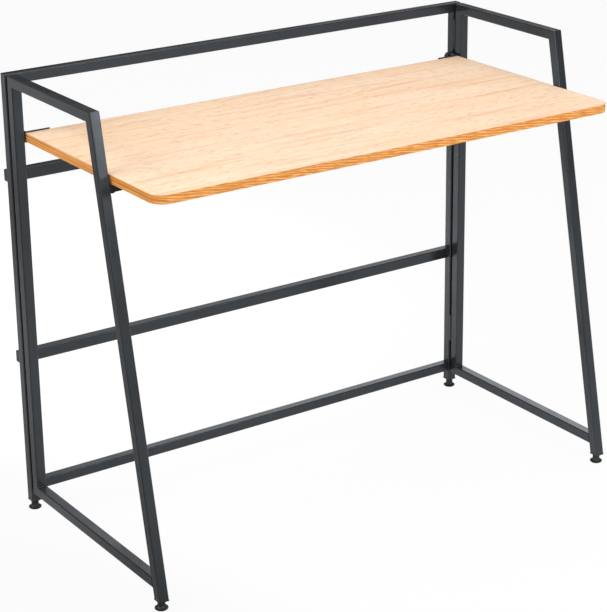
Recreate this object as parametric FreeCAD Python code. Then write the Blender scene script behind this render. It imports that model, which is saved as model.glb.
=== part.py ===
# Folding desk: a welded back frame, two hinged side frames and a top that swings down.
# Millimetres, +Z up, X across the desk, the sitter on the -Y side.
# The origin is on the floor, under the middle of the bounding box.
import FreeCAD, Part
import math
import os

V = FreeCAD.Vector
X_AXIS, Y_AXIS, Z_AXIS = V(1, 0, 0), V(0, 1, 0), V(0, 0, 1)

# Whole desk
width = 1000.0               # across the outer faces of the side frames
height = 833.0               # floor to the top of the frames
overrun = 5.0                # how far a cutting shape passes the face it cuts

# Square steel tube of the frames
tube = 18.7                  # outside
wall = 1.2                   # thickness
tube_round = 2.0             # outside corner radius
bore_round_share = 0.4       # inside corner radius, of the outside one
tube_end = 18.5              # height of the lower ends of uprights and legs

# Back frame
bottom_rail_height = 39.0    # underside of each rail above the floor
lower_rail_height = 287.5
upper_rail_height = 633.0
rear_rail_tall = 21.2        # the rear rails are taller than the other tubes, and as deep
rail_inset = 4.0             # from the frame's outer face to the capped end of a rear rail
cap_lip = 1.5                # thickness of the cap that closes a rear rail
cap_depth = 12.0             # how far the cap reaches into the rail

# Side frames, reaches counted forward from the front plane of the back frame
fold_gap = 6.2               # between back frame and side frames
leg_top_reach = 305.0        # front face of the front leg, at the top
leg_foot_reach = 469.0       # front face of the front leg, at the tube end
bar_height = 37.0            # underside of the bottom bar

# Butt hinges in the fold gap
hinge_length = 58.0
upper_hinge_base = 742.0     # lower end of each hinge above the floor
lower_hinge_base = 110.0
leaf_thick = 1.5
leaf_width = 12.0
leaf_clear = 1.2             # between a leaf's edge and the other leaf's knuckle
knuckle_radius = 2.9
pin_radius = 1.5
pin_inset = 1.0              # pin axis outside the frames' inner faces
pin_head = 1.5               # pin standing out of the knuckles at each end
knuckle_gap = 0.3            # between knuckles, along the pin
middle_knuckle_share = 0.4   # length of the middle knuckle, of the hinge
running_play = 0.05          # radial clearance of a turning or sliding shaft

# Top board
side_gap = 3.0               # between board and side frames
board_thick = 15.0
board_height = 715.0         # underside above the floor
board_rear = 20.0            # rear edge ahead of the back frame's front plane
board_reach = 474.0          # front edge ahead of the back frame's front plane
board_round = 27.0           # radius of the two front corners
band_thick = 1.0             # edge band

# Swing brackets at the board's rear corners
sheet = 2.5                  # bracket steel
flange_length = 48.0         # along the rear edge
base_depth = 35.0            # under the board
base_inset = 7.0             # from the board's side edge to the base
flange_rise = 2.2            # bracket above the board's top face
bracket_screw_radius = 2.0
bracket_screw_depth = 11.0   # into the board
screw_head_radius = 4.0
screw_head_thick = 2.2
base_screw_share = 0.55      # screw row, of the base depth from the rear edge
base_screw_shares = (0.34, 0.80)   # screws along the flange, of its length from the outer end

# Pivots of the brackets, at the middle of the back uprights' depth
pivot_radius = 4.0
pivot_head_radius = 7.0
pivot_head_thick = 3.5
pivot_thread_radius = 3.0
pivot_thread_length = 12.0
pivot_key_radius = 2.3       # hexagon socket, over the corners
pivot_key_depth = 2.0
nut_flange_radius = 7.0
nut_flange_thick = 1.0
nut_sleeve_radius = 4.6
nut_sleeve_length = 13.0
side_play = 0.15             # beside a turning bracket

# Support catches on the front legs
catch_reach = 25.0           # shelf under the board, from the leg
catch_width = 15.0           # along the leg's depth
catch_drop = 14.0            # underside of the board to the shelf's underside
catch_round = 5.0            # lower inner edge of the shelf
boss_radius = 7.0            # round boss next to the leg
boss_reach = 4.5             # its middle, from the leg
boss_drop = 9.0              # its middle, under the board
peg_radius = 4.0             # snapped into a hole in the leg
peg_tail = 4.0               # behind the leg's wall
peg_height_share = 0.5       # of the catch's drop

# Levelling feet and the plugs that hold them
plug_lip = 2.0
plug_depth = 16.0            # into the tube
plug_clear = 0.1             # beside the tube's bore
stem_radius = 4.0
stem_length = 26.0
stem_seat = 5.0              # underside of the stem above the floor
pad_radius = 11.7
pad_edge = 3.0               # height of the pad's rim
pad_bevel = 1.4
pad_neck_radius = 6.8
pad_neck_base = 9.0          # where the flare meets the neck
flare_share = 0.68           # how far the hollow of the flare lies towards neck and rim
pad_height = 14.0

# Values that follow from the sizes above
half = width / 2
inner = half - tube
bore = tube - 2 * wall
back_plane = (board_reach - 2 * tube) / 2
back_middle = back_plane + tube / 2
arm_under = height - tube
bar_top = bar_height + tube
board_top = board_height + board_thick
board_half = inner - side_gap
pivot_height = board_height + board_thick / 2
slope = (leg_foot_reach - leg_top_reach) / (height - tube_end)
leg_depth = tube * math.sqrt(1 + slope * slope)
hinge_x = inner + pin_inset
hinge_y = back_plane - fold_gap / 2


def leg_front(z):
    """Reach of the front leg's front face at a height."""
    return leg_top_reach + slope * (height - z)


def leg_middle(z):
    return leg_front(z) - leg_depth / 2


def leg_rear(z):
    return leg_front(z) - leg_depth


def block(low, high):
    """A box between two corners."""
    size = high - low
    return Part.makeBox(size.x, size.y, size.z, low)


def rod(radius, length, start, axis):
    return Part.makeCylinder(radius, length, start, axis)


def prism(points, along):
    """A flat outline pushed along a vector."""
    return Part.Face(Part.makePolygon(points + points[:1])).extrude(along)


def mirrored(shape):
    """The same piece on the other side of the desk."""
    return shape.mirror(V(0, 0, 0), X_AXIS)


def pair(shape):
    return Part.makeCompound([shape, mirrored(shape)])


def rounded_bar(tall, deep, radius, length):
    """A bar on the Z axis with its four long edges rounded."""
    bar = block(V(-tall / 2, -deep / 2, 0), V(tall / 2, deep / 2, length))
    edges = [e for e in bar.Edges if abs(e.tangentAt(e.FirstParameter).z) > math.cos(math.pi / 4)]
    return bar.makeFillet(radius, edges)


def tube_stock(tall, length):
    """Hollow tube on the Z axis, before its ends are cut."""
    hollow = rounded_bar(tall - 2 * wall, bore, tube_round * bore_round_share, length)
    return rounded_bar(tall, tube, tube_round, length).cut(hollow)


def member(start, end, outline=None, tall=tube):
    """Tube between two points of its middle line, its ends trimmed by an outline if one is given."""
    run = end - start
    extra = 0 if outline is None else tube + overrun
    stock = tube_stock(tall, run.Length + 2 * extra)
    stock.Placement = FreeCAD.Placement(start, FreeCAD.Rotation(Z_AXIS, run))
    stock.translate(V(run).normalize() * -extra)
    return stock if outline is None else stock.common(outline).Solids[0]


def save(name, shape):
    shape.exportStep("parts/" + name + ".step")


# Back frame

def back_outline(points):
    start = back_plane - overrun
    return prism([V(x, start, z) for x, z in points], V(0, tube + 2 * overrun, 0))


def back_upright():
    """Right upright, mitred at the top, with the hole for its pivot nut."""
    trim = back_outline([(inner, tube_end), (half, tube_end), (half, height), (inner, arm_under)])
    x = half - tube / 2
    post = member(V(x, back_middle, tube_end), V(x, back_middle, height), trim)
    hole = rod(nut_sleeve_radius, wall + overrun, V(inner - overrun, back_middle, pivot_height), X_AXIS)
    return post.cut(hole)


def top_rail():
    trim = back_outline([(-half, height), (half, height), (inner, arm_under), (-inner, arm_under)])
    z = height - tube / 2
    return member(V(-half, back_middle, z), V(half, back_middle, z), trim)


def bottom_rail():
    z = bottom_rail_height + tube / 2
    return member(V(-inner, back_middle, z), V(inner, back_middle, z))


def rear_rail(base):
    """Rail lapped on the rear faces of the uprights, so that the board can hang in front of it."""
    reach = half - rail_inset - cap_lip
    middle = V(0, back_middle + tube, base + rear_rail_tall / 2)
    return member(middle - V(reach, 0, 0), middle + V(reach, 0, 0), tall=rear_rail_tall)


def rail_cap(base):
    """Cap in the right end of a rear rail."""
    end = half - rail_inset
    y, z = back_middle + tube, base + rear_rail_tall / 2
    lip = rounded_bar(rear_rail_tall, tube, tube_round, cap_lip)
    core = rounded_bar(rear_rail_tall - 2 * (wall + plug_clear), bore - 2 * plug_clear,
                       tube_round * bore_round_share, cap_lip + cap_depth)
    cap = lip.fuse(core)
    cap.Placement = FreeCAD.Placement(V(end, y, z), FreeCAD.Rotation(Z_AXIS, V(-1, 0, 0)))
    return cap.removeSplitter()


# Side frames, drawn for the right side

def side_outline(points):
    start = inner - overrun
    return prism([V(start, back_plane - reach, z) for reach, z in points], V(tube + 2 * overrun, 0, 0))


def side_point(reach, z):
    return V(half - tube / 2, back_plane - reach, z)


def side_upright():
    rear, front = fold_gap, fold_gap + tube
    trim = side_outline([(rear, height), (front, arm_under), (front, bar_top), (rear, bar_height)])
    middle = fold_gap + tube / 2
    return member(side_point(middle, bar_height), side_point(middle, height), trim)


def side_arm():
    rear, front = fold_gap, fold_gap + tube
    trim = side_outline([(rear, height), (leg_top_reach, height), (leg_rear(arm_under), arm_under),
                         (front, arm_under)])
    z = height - tube / 2
    return member(side_point(fold_gap, z), side_point(leg_top_reach, z), trim)


def front_leg():
    """Slanted leg, mitred to the arm, cut level at the foot, with the hole for the catch's peg."""
    trim = side_outline([(leg_top_reach, height), (leg_front(tube_end), tube_end),
                         (leg_rear(tube_end), tube_end), (leg_rear(arm_under), arm_under)])
    top, foot = side_point(leg_middle(height), height), side_point(leg_middle(tube_end), tube_end)
    leg = member(foot, top, trim)
    return leg.cut(rod(peg_radius, wall + overrun, peg_point(inner - overrun), X_AXIS))


def bottom_bar():
    rear, front = fold_gap, fold_gap + tube
    trim = side_outline([(rear, bar_height), (front, bar_top), (leg_rear(bar_top), bar_top),
                         (leg_rear(bar_height), bar_height)])
    z = bar_height + tube / 2
    return member(side_point(fold_gap, z), side_point(leg_rear(z), z), trim)


# Butt hinges, drawn for the right side

def knuckle(low, high):
    hollow = rod(pin_radius, high - low, V(hinge_x, hinge_y, low), Z_AXIS)
    return rod(knuckle_radius, high - low, V(hinge_x, hinge_y, low), Z_AXIS).cut(hollow)


def hinge_splits(base):
    """Heights at which the knuckles of a hinge meet."""
    side = hinge_length * (1 - middle_knuckle_share) / 2
    return base, base + side, base + hinge_length - side, base + hinge_length


def fixed_leaf(base):
    """Leaf welded to the back upright, with the two outer knuckles."""
    low, first, second, high = hinge_splits(base)
    outer = hinge_x + leaf_width
    leaf = block(V(hinge_x, back_plane - leaf_thick, low), V(outer, back_plane, high))
    free = knuckle_radius + leaf_clear
    leaf = leaf.cut(block(V(hinge_x - overrun, back_plane - leaf_thick - overrun, first - knuckle_gap),
                          V(hinge_x + free, back_plane + overrun, second + knuckle_gap)))
    leaf = leaf.cut(rod(pin_radius, hinge_length, V(hinge_x, hinge_y, low), Z_AXIS))
    return leaf.fuse([knuckle(low, first - knuckle_gap / 2), knuckle(second + knuckle_gap / 2, high)]).removeSplitter()


def moving_leaf(base):
    """Leaf welded to the side upright, with the middle knuckle, free to turn on the pin."""
    low, first, second, high = hinge_splits(base)
    front = back_plane - fold_gap
    outer, free = hinge_x + leaf_width, knuckle_radius + leaf_clear
    leaf = block(V(hinge_x + free, front, low), V(outer, front + leaf_thick, high))
    web = block(V(hinge_x, front, first + knuckle_gap / 2), V(outer, front + leaf_thick, second - knuckle_gap / 2))
    barrel = knuckle(first + knuckle_gap / 2, second - knuckle_gap / 2)
    leaf = leaf.fuse([web, barrel]).removeSplitter()
    bore_rod = rod(pin_radius + running_play, hinge_length, V(hinge_x, hinge_y, low), Z_AXIS)
    return leaf.cut(bore_rod)


def hinge_pin(base):
    return rod(pin_radius, hinge_length + 2 * pin_head, V(hinge_x, hinge_y, base - pin_head), Z_AXIS)


# Support catch on the right front leg

def catch_height():
    return board_height - catch_drop * peg_height_share


def peg_point(x):
    z = catch_height()
    return V(x, back_plane - leg_middle(z), z)


def catch():
    """Springy moulded catch: a shelf under the board, a round boss and a peg in the leg."""
    y = back_plane - leg_middle(catch_height())
    low, high = y - catch_width / 2, y + catch_width / 2
    end, under = inner - catch_reach, board_height - catch_drop
    shelf = block(V(end, low, under), V(inner, high, board_height))
    lower = [e for e in shelf.Edges if e.CenterOfMass.z < under + catch_round / 2
             and e.CenterOfMass.x < end + catch_round / 2]
    shelf = shelf.makeFillet(catch_round, lower)
    boss = rod(boss_radius, catch_width, V(inner - boss_reach, low, board_height - boss_drop), Y_AXIS)
    boss = boss.common(block(V(end, low, under - boss_radius), V(inner, high, board_height)))
    peg = rod(peg_radius, wall + peg_tail, peg_point(inner), X_AXIS)
    return shelf.fuse([boss, peg]).removeSplitter()


# Top board

def board_outline(inset, thick, base):
    """Board blank with rounded front corners, drawn in from the finished outline."""
    reach = board_half - inset
    blank = block(V(-reach, back_plane - board_reach + inset, base),
                  V(reach, back_plane - board_rear - inset, base + thick))
    middle = back_plane - (board_reach + board_rear) / 2
    corners = [e for e in blank.Edges if abs(e.tangentAt(e.FirstParameter).z) > math.cos(math.pi / 4)
               and e.CenterOfMass.y < middle]
    return blank.makeFillet(board_round - inset, corners)


def board():
    core = board_outline(band_thick, board_thick, board_height)
    for start in base_screw_points():
        hole = rod(bracket_screw_radius, bracket_screw_depth, V(start.x, start.y, board_height), Z_AXIS)
        core = core.cut([hole, mirrored(hole)])
    return core


def edge_band():
    outside = board_outline(0, board_thick, board_height)
    return outside.cut(board_outline(band_thick, board_thick + 2 * overrun, board_height - overrun))


# Swing bracket at the board's right rear corner

def base_screw_points():
    y = back_plane - board_rear - base_depth * base_screw_share
    return [V(board_half - flange_length * share, y, board_height - sheet) for share in base_screw_shares]


def pivot_point(x):
    return V(x, back_middle, pivot_height)


def swing_bracket():
    """Folded steel: base under the board, flange up its rear edge, ear back to the pivot."""
    rear = back_plane - board_rear
    inside, low = board_half - flange_length, board_height - sheet
    base = block(V(inside, rear - base_depth, low), V(board_half - base_inset, rear + sheet, board_height))
    flange = block(V(inside, rear, low), V(board_half, rear + sheet, board_top + flange_rise))
    ear_half = board_thick / 2 + flange_rise
    ear = block(V(board_half - sheet, rear, pivot_height - ear_half),
                V(board_half, back_middle, pivot_height + ear_half))
    tip = rod(ear_half, sheet, pivot_point(board_half - sheet), X_AXIS)
    bracket = base.fuse([flange, ear, tip]).removeSplitter()
    holes = [rod(pivot_radius + running_play, sheet + 2 * overrun, pivot_point(board_half - sheet - overrun), X_AXIS)]
    holes += [rod(bracket_screw_radius, sheet + 2 * overrun, p - V(0, 0, overrun), Z_AXIS)
              for p in base_screw_points()]
    return bracket.cut(holes)


def bracket_screw(start):
    head = Part.makeCone(screw_head_radius - screw_head_thick / 2, screw_head_radius, screw_head_thick,
                         start - V(0, 0, screw_head_thick), Z_AXIS)
    shank = rod(bracket_screw_radius, sheet + bracket_screw_depth, start, Z_AXIS)
    return head.fuse(shank).removeSplitter()


# Pivot on the right back upright

def pivot_screw():
    """Shoulder screw: head inside the ear, shoulder through it, thread in the nut."""
    head_face = board_half - sheet - side_play
    shoulder = inner - nut_flange_thick - head_face
    head = rod(pivot_head_radius, pivot_head_thick, pivot_point(head_face - pivot_head_thick), X_AXIS)
    screw = head.fuse([rod(pivot_radius, shoulder, pivot_point(head_face), X_AXIS),
                       rod(pivot_thread_radius, pivot_thread_length, pivot_point(head_face + shoulder), X_AXIS)])
    corners = [pivot_point(head_face - pivot_head_thick)
               + V(0, math.cos(i * math.pi / 3), math.sin(i * math.pi / 3)) * pivot_key_radius for i in range(6)]
    return screw.removeSplitter().cut(prism(corners, V(pivot_key_depth, 0, 0)))


def pivot_washer():
    """Spacer between the ear and the nut's flange."""
    start = board_half + side_play
    length = inner - nut_flange_thick - start
    return rod(nut_flange_radius, length, pivot_point(start), X_AXIS).cut(
        rod(pivot_radius, length, pivot_point(start), X_AXIS))


def pivot_nut():
    """Rivet nut set in the upright's inner wall."""
    flange = rod(nut_flange_radius, nut_flange_thick, pivot_point(inner - nut_flange_thick), X_AXIS)
    sleeve = rod(nut_sleeve_radius, nut_sleeve_length, pivot_point(inner), X_AXIS)
    hollow = rod(pivot_thread_radius, nut_flange_thick + nut_sleeve_length,
                 pivot_point(inner - nut_flange_thick), X_AXIS)
    return flange.fuse(sleeve).removeSplitter().cut(hollow)


# Levelling feet

def foot_plug(reach_at):
    """Plug in the open end of a tube, its core leaning with the tube and its bore upright."""
    lean = reach_at(tube_end) - reach_at(tube_end + plug_depth)
    x = half - tube / 2
    depth = tube * math.sqrt(1 + (lean / plug_depth) ** 2)
    y = back_plane - reach_at(tube_end)
    lip = block(V(x - tube / 2, y - depth / 2, tube_end - plug_lip), V(x + tube / 2, y + depth / 2, tube_end))
    half_x = bore / 2 - plug_clear
    half_y = depth / 2 - (wall + plug_clear) * depth / tube
    foot = [V(x - half_x, y - half_y, tube_end), V(x - half_x, y + half_y, tube_end),
            V(x - half_x, y + half_y + lean, tube_end + plug_depth),
            V(x - half_x, y - half_y + lean, tube_end + plug_depth)]
    core = prism(foot, V(2 * half_x, 0, 0))
    long_edges = [e for e in core.Edges if abs(e.tangentAt(e.FirstParameter).z) > math.cos(math.pi / 4)]
    core = core.makeFillet(tube_round * bore_round_share + plug_clear, long_edges)
    hole = rod(stem_radius + running_play, plug_depth + 2 * overrun + plug_lip,
               V(x, stem_y(reach_at), tube_end - plug_lip - overrun), Z_AXIS)
    return lip.fuse(core).removeSplitter().cut(hole)


def stem_y(reach_at):
    return back_plane - reach_at(tube_end + plug_depth / 2)


def foot_stem(reach_at):
    return rod(stem_radius, stem_length, V(half - tube / 2, stem_y(reach_at), stem_seat), Z_AXIS)


def foot_pad(reach_at):
    """Round pad with a bevelled rim, a hollow flare and a neck around the stem."""
    rim = pad_radius - pad_bevel
    edge, neck = V(pad_radius, 0, pad_edge), V(pad_neck_radius, 0, pad_neck_base)
    dip = V(edge.x * (1 - flare_share) + neck.x * flare_share, 0, edge.z * flare_share + neck.z * (1 - flare_share))
    below = [V(0, 0, 0), V(rim, 0, 0), V(pad_radius, 0, pad_bevel), edge]
    above = [neck] + [V(r, 0, z) for r, z in ((pad_neck_radius, pad_height), (stem_radius, pad_height),
                                              (stem_radius, stem_seat), (0, stem_seat))]
    runs = [Part.makePolygon(below), Part.Wire(Part.Arc(edge, dip, neck).toShape()),
            Part.makePolygon(above + below[:1])]
    face = Part.Face(Part.Wire([e for run in runs for e in run.Edges]))
    pad = face.revolve(V(0, 0, 0), Z_AXIS, math.degrees(2 * math.pi))
    pad.translate(V(half - tube / 2, stem_y(reach_at), 0))
    return pad


def back_reach(z):
    """Middle of the back upright, counted forward from its front face."""
    return back_plane - back_middle


def main():
    os.makedirs("parts", exist_ok=True)
    bases = (upper_hinge_base, lower_hinge_base)
    group = Part.makeCompound

    save("top_rail", top_rail())
    save("upper_rail", rear_rail(upper_rail_height))
    save("lower_rail", rear_rail(lower_rail_height))
    save("bottom_rail", bottom_rail())
    save("rail_caps", group([pair(rail_cap(z)) for z in (upper_rail_height, lower_rail_height)]))
    save("fixed_hinge_leaves", group([pair(fixed_leaf(z)) for z in bases]))
    save("hinge_pins", group([pair(hinge_pin(z)) for z in bases]))
    save("pivot_screws", pair(pivot_screw()))
    save("pivot_washers", pair(pivot_washer()))
    save("pivot_nuts", pair(pivot_nut()))
    save("rear_foot_plugs", pair(foot_plug(back_reach)))

    save("board", board())
    save("edge_band", edge_band())
    screws = [bracket_screw(p) for p in base_screw_points()]
    save("bracket_screws", group([pair(s) for s in screws]))

    pieces = {
        "back_upright": back_upright(),
        "side_upright": side_upright(),
        "arm": side_arm(),
        "front_leg": front_leg(),
        "bottom_bar": bottom_bar(),
        "hinge_leaves": group([moving_leaf(z) for z in bases]),
        "catch": catch(),
        "front_foot_plug": foot_plug(leg_middle),
        "swing_bracket": swing_bracket(),
        "rear_foot_pad": foot_pad(back_reach),
        "rear_foot_stem": foot_stem(back_reach),
        "front_foot_pad": foot_pad(leg_middle),
        "front_foot_stem": foot_stem(leg_middle),
    }
    for name, shape in pieces.items():
        save("right_" + name, shape)
        save("left_" + name, mirrored(shape))


main()
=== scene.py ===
"""Folding desk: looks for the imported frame. Metres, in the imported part's own frame."""
import math

import bmesh
import bpy
from mathutils import Matrix, Vector, noise as lumps


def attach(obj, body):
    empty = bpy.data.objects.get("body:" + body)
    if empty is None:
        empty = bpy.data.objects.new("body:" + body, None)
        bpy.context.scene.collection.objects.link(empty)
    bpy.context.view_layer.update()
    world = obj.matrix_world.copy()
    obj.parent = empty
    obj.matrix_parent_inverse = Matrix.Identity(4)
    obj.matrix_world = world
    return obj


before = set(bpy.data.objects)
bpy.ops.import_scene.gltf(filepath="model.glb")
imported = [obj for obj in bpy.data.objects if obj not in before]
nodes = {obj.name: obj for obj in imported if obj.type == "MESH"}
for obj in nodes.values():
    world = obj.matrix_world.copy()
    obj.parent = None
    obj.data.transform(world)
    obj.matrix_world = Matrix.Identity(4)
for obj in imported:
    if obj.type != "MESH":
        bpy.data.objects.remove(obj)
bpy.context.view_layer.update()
sides = (("left", -1.0), ("right", 1.0))

# Sockets of the mix node when it mixes colours
mix_share, mix_first, mix_second, mixed_colour = 0, 6, 7, 2


# Nodes

def add(tree, kind, values=None, **options):
    """One node with its options and input values set; a socket given as a value is linked."""
    node = tree.nodes.new(kind)
    for key, value in options.items():
        setattr(node, key, value)
    for key, value in (values or {}).items():
        if isinstance(value, bpy.types.NodeSocket):
            tree.links.new(value, node.inputs[key])
        else:
            node.inputs[key].default_value = value
    return node


def maths(tree, operation, first, second=0.0):
    return add(tree, "ShaderNodeMath", {0: first, 1: second}, operation=operation).outputs[0]


def product(tree, first, second):
    return maths(tree, "MULTIPLY", first, second)


def dot(tree, first, second):
    node = add(tree, "ShaderNodeVectorMath", {0: first, 1: second}, operation="DOT_PRODUCT")
    return node.outputs["Value"]


def spread(tree, value, low, high, to_low=0.0, to_high=1.0):
    """A value between low and high stretched smoothly over another range."""
    ends = {"From Min": low, "From Max": high, "To Min": to_low, "To Max": to_high}
    node = add(tree, "ShaderNodeMapRange", {"Value": value, **ends}, interpolation_type="SMOOTHSTEP")
    return node.outputs["Result"]


def noise(tree, place, scale, detail=2.0, rough=0.5, bend=0.0):
    """Noise; a scale with three numbers stretches it along the axes."""
    if isinstance(scale, tuple):
        stretch = add(tree, "ShaderNodeVectorMath", {0: place, 1: scale}, operation="MULTIPLY")
        place, scale = stretch.outputs[0], 1.0
    return add(tree, "ShaderNodeTexNoise", {"Vector": place, "Scale": scale, "Detail": detail,
                                            "Roughness": rough, "Distortion": bend}).outputs["Fac"]


def tint(tree, share, first, second):
    """A colour that goes from first to second by a share that changes over the surface."""
    ends = {}
    for socket, colour in ((mix_first, first), (mix_second, second)):
        ends[socket] = colour if isinstance(colour, bpy.types.NodeSocket) else (*colour, 1.0)
    node = add(tree, "ShaderNodeMix", {mix_share: share, **ends}, data_type="RGBA")
    return node.outputs[mixed_colour]


# Shader groups: each gives masks and heights that change over the surface.

def start_group(name, inputs, outputs):
    """A node group: an input without a value takes a place, all other sockets are numbers."""
    tree = bpy.data.node_groups.new(name, "ShaderNodeTree")
    for socket, value in inputs.items():
        kind = "NodeSocketVector" if value is None else "NodeSocketFloat"
        made = tree.interface.new_socket(socket, in_out="INPUT", socket_type=kind)
        if value is not None:
            made.default_value = value
    for socket in outputs:
        tree.interface.new_socket(socket, in_out="OUTPUT", socket_type="NodeSocketFloat")
    return tree, tree.nodes.new("NodeGroupInput").outputs, tree.nodes.new("NodeGroupOutput").inputs


def powder_skin_group():
    """Powder coat: fine orange peel, slow drift of tone and a few settled grains."""
    tree, given, result = start_group("powder_skin", {"Place": None, "Peel": 620.0},
                                      ("Height", "Drift", "Grain"))
    peel = noise(tree, given["Place"], given["Peel"], detail=3.0, rough=0.55)
    drift = noise(tree, given["Place"], 7.0, detail=3.0, rough=0.6, bend=0.4)
    cells = add(tree, "ShaderNodeTexVoronoi", {"Vector": given["Place"], "Scale": 900.0,
                                               "Randomness": 1.0}).outputs["Distance"]
    grain = spread(tree, cells, 0.10, 0.24, to_low=1.0, to_high=0.0)
    tree.links.new(maths(tree, "ADD", peel, product(tree, grain, 0.25)), result["Height"])
    tree.links.new(spread(tree, drift, 0.3, 0.7), result["Drift"])
    tree.links.new(grain, result["Grain"])
    return tree


def edges_and_wear_group():
    """Where a face turns a corner: 1 on the edge, and rubbed only here and there along it."""
    tree, given, result = start_group("edges_and_wear", {"Place": None, "Width": 0.0012},
                                      ("Edge", "Rubbed"))
    rounded = add(tree, "ShaderNodeBevel", {"Radius": given["Width"]}, samples=6).outputs["Normal"]
    true = add(tree, "ShaderNodeNewGeometry").outputs["True Normal"]
    edge = spread(tree, dot(tree, rounded, true), 0.80, 0.995, to_low=1.0, to_high=0.0)
    breaks = spread(tree, noise(tree, given["Place"], 34.0, detail=4.0, rough=0.65), 0.46, 0.68)
    tree.links.new(edge, result["Edge"])
    tree.links.new(product(tree, edge, breaks), result["Rubbed"])
    return tree


def handling_group():
    """Faint smears and fine dust from use."""
    tree, given, result = start_group("handling", {"Place": None, "Size": 9.0}, ("Smear", "Dust"))
    smear = noise(tree, given["Place"], given["Size"], detail=5.0, rough=0.62, bend=1.2)
    dust = noise(tree, given["Place"], 1500.0, detail=1.0)
    tree.links.new(spread(tree, smear, 0.38, 0.70), result["Smear"])
    tree.links.new(spread(tree, dust, 0.62, 0.78), result["Dust"])
    return tree


def wood_figure_group():
    """Printed wood figure; Along runs with the fibres, Across over them, both in metres."""
    tree, given, result = start_group("wood_figure", {"Along": 0.0, "Across": 0.0, "Lift": 0.0},
                                      ("Bands", "Fibres", "Pores", "Streaks", "Dashes", "Height"))
    place = add(tree, "ShaderNodeCombineXYZ", {0: given["Along"], 1: given["Across"],
                                               2: given["Lift"]}).outputs[0]
    sway = product(tree, noise(tree, place, (3.0, 5.0, 5.0)), 0.030)
    push = add(tree, "ShaderNodeCombineXYZ", {1: sway}).outputs[0]
    swayed = add(tree, "ShaderNodeVectorMath", {0: place, 1: push}, operation="ADD").outputs[0]
    bands = noise(tree, swayed, (3.2, 24.0, 24.0), detail=3.0, rough=0.55, bend=0.3)
    fibres = noise(tree, swayed, (11.0, 420.0, 420.0), detail=3.0, rough=0.6)
    pores = noise(tree, swayed, (46.0, 900.0, 900.0), rough=0.55)
    streaks = noise(tree, swayed, (4.2, 66.0, 66.0), detail=4.0, rough=0.62, bend=0.3)
    dashes = noise(tree, swayed, (46.0, 340.0, 340.0), rough=0.6, bend=0.2)
    pore = spread(tree, pores, 0.60, 0.74)
    tree.links.new(spread(tree, bands, 0.30, 0.70), result["Bands"])
    tree.links.new(spread(tree, fibres, 0.30, 0.70), result["Fibres"])
    tree.links.new(pore, result["Pores"])
    tree.links.new(spread(tree, streaks, 0.47, 0.72), result["Streaks"])
    tree.links.new(spread(tree, dashes, 0.54, 0.74), result["Dashes"])
    tree.links.new(maths(tree, "SUBTRACT", product(tree, fibres, 0.4), pore), result["Height"])
    return tree


def moulded_grain_group():
    """Spark-eroded texture of a moulded plastic part, also used for the grain of zinc."""
    tree, given, result = start_group("moulded_grain", {"Place": None, "Size": 1400.0},
                                      ("Height", "Flow"))
    pits = noise(tree, given["Place"], given["Size"], rough=0.6)
    flow = noise(tree, given["Place"], 60.0, detail=3.0, rough=0.6, bend=1.5)
    tree.links.new(pits, result["Height"])
    tree.links.new(spread(tree, flow, 0.3, 0.7), result["Flow"])
    return tree


powder_skin = powder_skin_group()
edges_and_wear = edges_and_wear_group()
handling = handling_group()
wood_figure = wood_figure_group()
moulded_grain = moulded_grain_group()


# Finishes

def start_finish(name, **plain):
    """A material with its Principled shader; plain values go straight onto the shader's sockets."""
    material = bpy.data.materials.new(name)
    material.use_nodes = True
    tree = material.node_tree
    shader = tree.nodes["Principled BSDF"]
    for socket, value in plain.items():
        shader.inputs[socket.replace("_", " ")].default_value = value
    place = add(tree, "ShaderNodeTexCoord").outputs["Object"]
    return material, tree, shader, place


def use(tree, group, **values):
    """A shared group placed in a finish with values of its own."""
    return add(tree, "ShaderNodeGroup", values, node_tree=group).outputs


def layered(tree, colour, *layers):
    """A colour with others over it; each layer has its mask, the most that shows, and its colour."""
    for mask, most, over in layers:
        colour = tint(tree, product(tree, mask, most), colour, over)
    return colour


def set_roughness(tree, shader, least, *rises):
    """A least roughness and what each mask adds to it."""
    total = least
    for mask, most in rises:
        total = maths(tree, "ADD", product(tree, mask, most), total)
    tree.links.new(total, shader.inputs["Roughness"])


def set_skin(tree, shader, height, depth, strength):
    """The finest unevenness of the surface, as a bump."""
    bump = add(tree, "ShaderNodeBump", {"Height": height, "Distance": depth, "Strength": strength})
    tree.links.new(bump.outputs["Normal"], shader.inputs["Normal"])


def greyed_in_mirrors(tree, colour):
    """The colour as it is, but pale grey in mirror images: the frame's gloss takes no tint from it."""
    mirrored = add(tree, "ShaderNodeLightPath").outputs["Is Glossy Ray"]
    return tint(tree, mirrored, colour, (0.97, 0.97, 0.97))


def painted(name, dark, pale, rubbed, gloss, roughness):
    """Powder coat or black paint on steel, with rubbed edges and a cool gloss."""
    cool = (0.82, 0.92, 1.0, 1.0)
    material, tree, shader, place = start_finish(name, Specular_IOR_Level=gloss, Specular_Tint=cool)
    skin = use(tree, powder_skin, Place=place, Peel=620.0)
    edge_masks = use(tree, edges_and_wear, Place=place, Width=0.0012)
    touch = use(tree, handling, Place=place, Size=8.0)
    coat = layered(tree, tint(tree, skin["Drift"], dark, pale), (edge_masks["Rubbed"], 0.55, rubbed))
    tree.links.new(coat, shader.inputs["Base Color"])
    set_roughness(tree, shader, roughness, (touch["Smear"], 0.07), (skin["Grain"], 0.05))
    set_skin(tree, shader, skin["Height"], depth=0.00006, strength=0.35)
    return material


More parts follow.
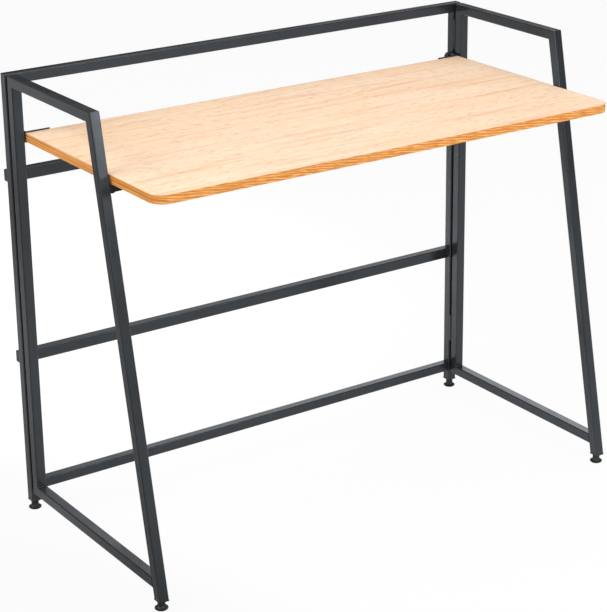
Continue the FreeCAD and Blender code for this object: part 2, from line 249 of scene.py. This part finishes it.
def moulded(name, dark, pale, gloss, roughness):
    """Black moulded plastic with pale edges and a little dust."""
    material, tree, shader, place = start_finish(name, Specular_IOR_Level=gloss)
    grain = use(tree, moulded_grain, Place=place, Size=1500.0)
    edge_masks = use(tree, edges_and_wear, Place=place, Width=0.0006)
    touch = use(tree, handling, Place=place, Size=40.0)
    body = layered(tree, tint(tree, grain["Flow"], dark, pale),
                   (edge_masks["Rubbed"], 0.40, (0.09, 0.09, 0.088)),
                   (touch["Dust"], 0.06, (0.25, 0.24, 0.23)))
    tree.links.new(body, shader.inputs["Base Color"])
    set_roughness(tree, shader, roughness, (touch["Smear"], 0.10))
    set_skin(tree, shader, grain["Height"], depth=0.00005, strength=0.4)
    return material


def plated_steel():
    """Bright zinc on turned or pressed steel."""
    material, tree, shader, place = start_finish("zinc_plated_steel", Metallic=1.0)
    spangle = use(tree, moulded_grain, Place=place, Size=700.0)
    edge_masks = use(tree, edges_and_wear, Place=place, Width=0.0004)
    touch = use(tree, handling, Place=place, Size=60.0)
    plating = layered(tree, tint(tree, spangle["Flow"], (0.50, 0.50, 0.50), (0.66, 0.65, 0.62)),
                      (edge_masks["Edge"], 0.50, (0.80, 0.79, 0.76)))
    tree.links.new(plating, shader.inputs["Base Color"])
    set_roughness(tree, shader, 0.26, (touch["Smear"], 0.16))
    set_skin(tree, shader, spangle["Height"], depth=0.00003, strength=0.35)
    return material


def oak_laminate():
    """Pale oak print on the board's faces, fibres along the width."""
    material, tree, shader, place = start_finish("oak_laminate", Specular_IOR_Level=0.12)
    x, y, z = add(tree, "ShaderNodeSeparateXYZ", {0: place}).outputs
    figure = use(tree, wood_figure, Along=x, Across=y, Lift=z)
    touch = use(tree, handling, Place=place, Size=5.0)
    oak = layered(tree, tint(tree, figure["Bands"], (0.972, 0.705, 0.465), (0.988, 0.765, 0.575)),
                  (figure["Fibres"], 0.40, (0.93, 0.65, 0.44)),
                  (figure["Streaks"], 0.70, (0.85, 0.50, 0.31)),
                  (figure["Dashes"], 0.85, (0.70, 0.36, 0.22)),
                  (figure["Pores"], 0.55, (0.70, 0.40, 0.26)))
    tree.links.new(greyed_in_mirrors(tree, oak), shader.inputs["Base Color"])
    set_roughness(tree, shader, 0.60, (touch["Smear"], 0.10))
    set_skin(tree, shader, figure["Height"], depth=0.00006, strength=0.25)
    return material


def wood_edge_band():
    """Orange-brown edge band with wavering lines and short dark strokes along each edge."""
    material, tree, shader, place = start_finish("wood_edge_band", Specular_IOR_Level=0.25)
    x, y, z = add(tree, "ShaderNodeSeparateXYZ", {0: place}).outputs
    along = maths(tree, "ADD", product(tree, x, 7.0), y)
    across = maths(tree, "ADD", z, product(tree, x, 0.13))
    figure = use(tree, wood_figure, Along=product(tree, along, 2.2), Across=product(tree, across, 2.4))
    edge_masks = use(tree, edges_and_wear, Place=place, Width=0.0009)
    on_strip = add(tree, "ShaderNodeCombineXYZ", {0: along, 1: across}).outputs[0]
    strokes = noise(tree, on_strip, (5.5, 500.0, 1.0), detail=1.0)
    waver = noise(tree, on_strip, (1.6, 60.0, 1.0))
    lines = maths(tree, "SINE", maths(tree, "ADD", product(tree, across, 1300.0),
                                      product(tree, waver, 9.0)))
    strip = layered(tree, tint(tree, figure["Bands"], (0.93, 0.425, 0.100), (0.98, 0.515, 0.160)),
                    (spread(tree, lines, -0.3, 0.8), 0.66, (0.50, 0.150, 0.026)),
                    (figure["Fibres"], 0.30, (0.70, 0.280, 0.065)),
                    (spread(tree, strokes, 0.44, 0.58), 0.60, (0.48, 0.150, 0.028)),
                    (figure["Dashes"], 0.35, (0.40, 0.130, 0.025)),
                    # Darker along every corner of the band
                    (edge_masks["Edge"], 0.55, (0.42, 0.170, 0.050)),
                    (edge_masks["Rubbed"], 0.35, (0.90, 0.56, 0.28)))
    tree.links.new(greyed_in_mirrors(tree, strip), shader.inputs["Base Color"])
    set_roughness(tree, shader, 0.44, (figure["Fibres"], 0.12))
    set_skin(tree, shader, figure["Height"], depth=0.00006, strength=0.25)
    return material


charcoal_powder = painted("charcoal_powder_coat", dark=(0.0158, 0.0174, 0.0200),
                          pale=(0.0210, 0.0229, 0.0262), rubbed=(0.085, 0.086, 0.088),
                          gloss=0.50, roughness=0.19)
black_paint = painted("black_painted_steel", dark=(0.010, 0.010, 0.011), pale=(0.016, 0.016, 0.017),
                      rubbed=(0.12, 0.12, 0.118), gloss=0.32, roughness=0.42)
black_moulding = moulded("black_moulded_plastic", dark=(0.011, 0.011, 0.012),
                         pale=(0.017, 0.017, 0.018), gloss=0.36, roughness=0.40)
# Black nylon painted darker than the moulded plastic: painted shade for the catches that sit under the
# board; the pivot washers take the same colour
black_nylon = moulded("black_nylon", dark=(0.006, 0.006, 0.007), pale=(0.010, 0.010, 0.011),
                      gloss=0.20, roughness=0.48)
zinc = plated_steel()
laminate = oak_laminate()
band = wood_edge_band()

finish_nodes = [
    (charcoal_powder, ["top_rail", "upper_rail", "lower_rail", "bottom_rail", "fixed_hinge_leaves"]),
    (black_moulding, ["rail_caps", "rear_foot_plugs"]),
    (black_paint, ["pivot_screws", "bracket_screws", "hinge_pins"]),
    (black_nylon, ["pivot_washers"]),
    (zinc, ["pivot_nuts"]),
    (laminate, ["board"]),
    (band, ["edge_band"]),
]
side_finishes = (
    (charcoal_powder, ("_back_upright", "_side_upright", "_arm", "_front_leg", "_bottom_bar",
                       "_hinge_leaves", "_swing_bracket")),
    (black_nylon, ("_catch",)),
    (black_moulding, ("_front_foot_plug", "_rear_foot_pad", "_front_foot_pad")),
    (zinc, ("_rear_foot_stem", "_front_foot_stem")),
)
for side, _ in sides:
    finish_nodes += [(finish, [side + piece for piece in pieces]) for finish, pieces in side_finishes]
for finish, names in finish_nodes:
    for name in names:
        nodes[name].data.materials.clear()
        nodes[name].data.materials.append(finish)


# Weld beads in the inside corners of the frame, under the powder coat

bead_radius = 0.0017
bead_lift = 0.15 * bead_radius
rings_per_bead, points_per_ring = 34, 12
ripples_per_bead, ripple_start = 7.0, 0.4
ripple_low, ripple_swell = 0.90, 0.14
lump_scale, lump_size = 700.0, 0.16
blunt_end, taper_rate = 0.25, 6.0

# Corners that the beads follow: x out from the middle, y of faces, z of undersides and tops
side_bead_start, side_bead_end = 0.4836, 0.4977
side_upright_front = 0.1934
arm_underside, bottom_bar_top = 0.8143, 0.0557
leg_back_at_arm, leg_back_at_bar = -0.0714, -0.2241
back_upright_inside = 0.4813
bottom_rail_front, bottom_rail_back = 0.2206, 0.2347
bottom_rail_top, bottom_rail_underside = 0.0577, 0.0390
back_upright_rear = 0.2370
lap_bead_start, lap_bead_end = 0.4833, 0.4945
lower_rail_top, lower_rail_underside = 0.3087, 0.2875
upper_rail_top, upper_rail_underside = 0.6542, 0.6330


def lay_bead(shape, start, end, away):
    """One lumpy bead along a corner, about half sunk into it, with blunt ends and ripples."""
    start, end, away = Vector(start), Vector(end), Vector(away).normalized()
    across = (end - start).normalized().cross(away)
    rings = []
    for step in range(rings_per_bead + 1):
        share = step / rings_per_bead
        spot = start.lerp(end, share)
        wave = abs(math.sin(share * math.pi * ripples_per_bead + ripple_start))
        ripple = ripple_low + ripple_swell * wave
        lump = lump_size * lumps.noise(spot * lump_scale)
        taper = min(1.0, blunt_end + taper_rate * min(share, 1.0 - share))
        radius = bead_radius * (ripple + lump) * taper
        centre = spot + away * bead_lift
        ring = []
        for turn in range(points_per_ring):
            angle = 2.0 * math.pi * turn / points_per_ring
            outward = math.cos(angle) * away + math.sin(angle) * across
            ring.append(shape.verts.new(centre + radius * outward))
        rings.append(ring)
    for first, second in zip(rings, rings[1:]):
        for turn in range(points_per_ring):
            after = (turn + 1) % points_per_ring
            shape.faces.new((first[turn], first[after], second[after], second[turn]))
    shape.faces.new(rings[0][::-1])
    shape.faces.new(rings[-1])


def place_mesh(name, shape, finish):
    """The shape as an object of the scene in one finish."""
    mesh = bpy.data.meshes.new(name)
    shape.to_mesh(mesh)
    shape.free()
    mesh.materials.append(finish)
    piece = bpy.data.objects.new(name, mesh)
    bpy.context.scene.collection.objects.link(piece)
    return piece


def weld_beads(name, body, beads):
    """All beads of one body as a single piece that moves with it."""
    shape = bmesh.new()
    for start, end, away in beads:
        lay_bead(shape, start, end, away)
    bmesh.ops.recalc_face_normals(shape, faces=shape.faces)
    for face in shape.faces:
        face.smooth = True
    piece = place_mesh(name, shape, charcoal_powder)
    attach(piece, body)


side_corners = (
    (side_upright_front, bottom_bar_top, (0.0, -1.0, 1.0)),
    (side_upright_front, arm_underside, (0.0, -1.0, -1.0)),
    (leg_back_at_arm, arm_underside, (0.0, 1.0, -0.8)),
    (leg_back_at_bar, bottom_bar_top, (0.0, 1.0, 1.2)),
)
for side, sign in sides:
    weld_beads(side + "_frame_welds", side + "_frame", [
        ((sign * side_bead_start, y, z), (sign * side_bead_end, y, z), away)
        for y, z, away in side_corners])

butt_corners = ((bottom_rail_top, 1.0), (bottom_rail_underside, -1.0))
lap_corners = ((lower_rail_top, 1.0), (lower_rail_underside, -1.0),
               (upper_rail_top, 1.0), (upper_rail_underside, -1.0))
back_beads = []
for _, sign in sides:
    for z, lift in butt_corners:
        back_beads.append(((sign * back_upright_inside, bottom_rail_front, z),
                           (sign * back_upright_inside, bottom_rail_back, z), (-sign, 0.0, lift)))
    for z, lift in lap_corners:
        back_beads.append(((sign * lap_bead_start, back_upright_rear, z),
                           (sign * lap_bead_end, back_upright_rear, z), (0.0, 1.0, lift)))
weld_beads("back_frame_welds", "back_frame", back_beads)


# Studio: pale floor, soft lamps, camera at the photograph's place

def pale_paper():
    """Paper seen white; beside and behind the desk it is painted grey, a painted shade in mirror images
    and in the light it throws; elsewhere it glows white in mirror images, a painted reflection light,
    stronger in front than behind.
    """
    material = bpy.data.materials.new("pale_paper")
    material.use_nodes = True
    tree = material.node_tree
    tree.nodes.clear()
    # The rest of what is seen is lit paper, which keeps the desk's shadow
    seen_white = 0.94
    rays = add(tree, "ShaderNodeLightPath").outputs
    place = add(tree, "ShaderNodeTexCoord").outputs["Object"]
    out_left = dot(tree, place, (-0.95, -0.30, 0.0))
    out_back = dot(tree, place, (-0.906, -0.423, 0.0))
    depth = add(tree, "ShaderNodeSeparateXYZ", {0: place}).outputs["Y"]
    behind = product(tree, spread(tree, depth, 0.0, 0.4),
                     spread(tree, depth, 2.2, 2.7, to_low=1.0, to_high=0.0))
    behind = product(tree, spread(tree, out_back, 0.05, 0.35), behind)
    beside = product(tree, spread(tree, out_left, 0.32, 0.58),
                     spread(tree, depth, 0.5, 1.0, to_low=1.0, to_high=0.0))
    # Painted shade: the paper is painted dark grey beside and behind the desk, to darken its mirror
    # images and the light it throws
    painted_dark_patch = maths(tree, "MAXIMUM", beside, behind)
    grey = tint(tree, painted_dark_patch, (0.84, 0.84, 0.84), (0.36, 0.36, 0.36))
    paper = add(tree, "ShaderNodeBsdfDiffuse", {"Color": grey}).outputs[0]
    white = add(tree, "ShaderNodeEmission",
                {"Color": (1.0, 1.0, 1.0, 1.0), "Strength": 1.0}).outputs[0]
    direct = maths(tree, "MAXIMUM", rays["Is Camera Ray"], rays["Is Transmission Ray"])
    seen = product(tree, direct, seen_white)
    # Painted reflection light: in mirror images the paper glows white, more in front than behind, and
    # not in the painted dark patch
    painted_mirror_glow = product(tree, spread(tree, painted_dark_patch, 0.0, 1.0, to_low=1.0, to_high=0.0),
                       spread(tree, depth, -0.2, 0.3, to_low=0.85, to_high=0.46))
    mirrored = product(tree, rays["Is Glossy Ray"], painted_mirror_glow)
    share = maths(tree, "MAXIMUM", seen, mirrored)
    mixed = add(tree, "ShaderNodeMixShader", {0: share, 1: paper, 2: white}).outputs[0]
    add(tree, "ShaderNodeOutputMaterial", {"Surface": mixed})
    return material


def pale_floor():
    """A wide sheet of pale paper under the desk."""
    shape = bmesh.new()
    reach = 14.0
    corners = ((-reach, -reach), (reach, -reach), (reach, reach), (-reach, reach))
    shape.faces.new([shape.verts.new((x, y, 0.0)) for x, y in corners])
    floor = place_mesh("pale_floor", shape, pale_paper())


def hang_lamp(lamp, place, aim):
    holder = bpy.data.objects.new(lamp.name, lamp)
    holder.location = place
    holder.rotation_mode = "QUATERNION"
    holder.rotation_quaternion = (Vector(aim) - Vector(place)).to_track_quat("-Z", "Y")
    bpy.context.scene.collection.objects.link(holder)


def softbox(name, place, aim, wide, high, watts):
    lamp = bpy.data.lights.new(name, "AREA")
    lamp.shape = "RECTANGLE"
    lamp.size, lamp.size_y = wide, high
    lamp.energy = watts
    hang_lamp(lamp, place, aim)


def floor_spot(name, place, aim, cone, watts):
    """A soft-edged spot that lights only the floor behind the desk."""
    lamp = bpy.data.lights.new(name, "SPOT")
    lamp.energy = watts
    lamp.spot_size = math.radians(cone)
    lamp.spot_blend = 0.8
    lamp.shadow_soft_size = 0.1
    hang_lamp(lamp, place, aim)


def studio_world():
    """An even fill, a glow behind on the right and a dark patch under it; the camera sees it pale."""
    world = bpy.data.worlds.new("studio")
    bpy.context.scene.world = world
    world.use_nodes = True
    tree = world.node_tree
    tree.nodes.clear()
    towards = add(tree, "ShaderNodeTexCoord").outputs["Generated"]
    to_glow = dot(tree, towards, (0.613, 0.635, 0.469))
    to_dark = dot(tree, towards, (0.528, 0.845, 0.087))
    glow = spread(tree, to_glow, 0.940, 0.996, to_low=0.26, to_high=2.5)
    strength = product(tree, glow, spread(tree, to_dark, 0.940, 0.970, to_low=1.0, to_high=0.10))
    fill = add(tree, "ShaderNodeBackground",
               {"Color": (0.96, 0.98, 1.0, 1.0), "Strength": strength}).outputs[0]
    white = add(tree, "ShaderNodeBackground",
                {"Color": (0.965, 0.965, 0.965, 1.0), "Strength": 1.0}).outputs[0]
    seen = add(tree, "ShaderNodeLightPath").outputs["Is Camera Ray"]
    mixed = add(tree, "ShaderNodeMixShader", {0: seen, 1: fill, 2: white}).outputs[0]
    add(tree, "ShaderNodeOutputWorld", {"Surface": mixed})


def studio_lamps():
    """Five softboxes, the low one at the front right for the left leg's highlight, and a floor spot."""
    softbox("overhead", (0.45, 0.20, 3.1), aim=(0.1, 0.0, 0.5), wide=2.6, high=2.3, watts=25.0)
    softbox("front_right", (1.36, -2.95, 1.18), aim=(-0.4, 0.0, 0.8), wide=0.80, high=0.38, watts=13.5)
    softbox("front_left", (-1.0, -3.3, 1.6), aim=(0.0, 0.0, 0.6), wide=3.0, high=2.2, watts=43.0)
    softbox("front_high", (0.4, -3.1, 2.7), aim=(0.0, 0.0, 0.6), wide=1.5, high=1.2, watts=44.0)
    softbox("left", (-2.8, 0.2, 2.1), aim=(0.0, 0.0, 0.5), wide=2.3, high=2.1, watts=62.0)
    floor_spot("behind", (-0.1, 2.5, 2.6), aim=(-0.08, 1.4, 0.0), cone=42.0, watts=560.0)


def photograph_camera():
    """The photograph's viewing place, solved from edge points measured in its 607 x 612 frame."""
    place = (-1.92443, -2.82794, 1.66974)
    azimuth, elevation, roll = (math.radians(angle) for angle in (-35.8261, 19.6719, -0.0811))
    picture_wide, focal_pixels, film_wide = 607.0, 1971.0, 36.0
    back = Vector((math.sin(azimuth) * math.cos(elevation),
                   -math.cos(azimuth) * math.cos(elevation), math.sin(elevation)))
    level = Vector((0.0, 0.0, 1.0)).cross(back).normalized()
    upright = back.cross(level)
    right = math.cos(roll) * level + math.sin(roll) * upright
    up = math.cos(roll) * upright - math.sin(roll) * level
    lens = bpy.data.cameras.new("photograph_camera")
    lens.sensor_fit = "HORIZONTAL"
    lens.sensor_width = film_wide
    lens.lens = film_wide * focal_pixels / picture_wide
    lens.shift_x, lens.shift_y = -0.10936, -0.07131
    lens.clip_start, lens.clip_end = 0.05, 60.0
    camera = bpy.data.objects.new("photograph_camera", lens)
    turned = Matrix((right, up, back)).transposed().to_4x4()
    camera.matrix_world = Matrix.Translation(place) @ turned
    bpy.context.scene.collection.objects.link(camera)
    bpy.context.scene.camera = camera


pale_floor()
studio_world()
studio_lamps()
photograph_camera()
bpy.context.scene.view_settings.view_transform = "Standard"
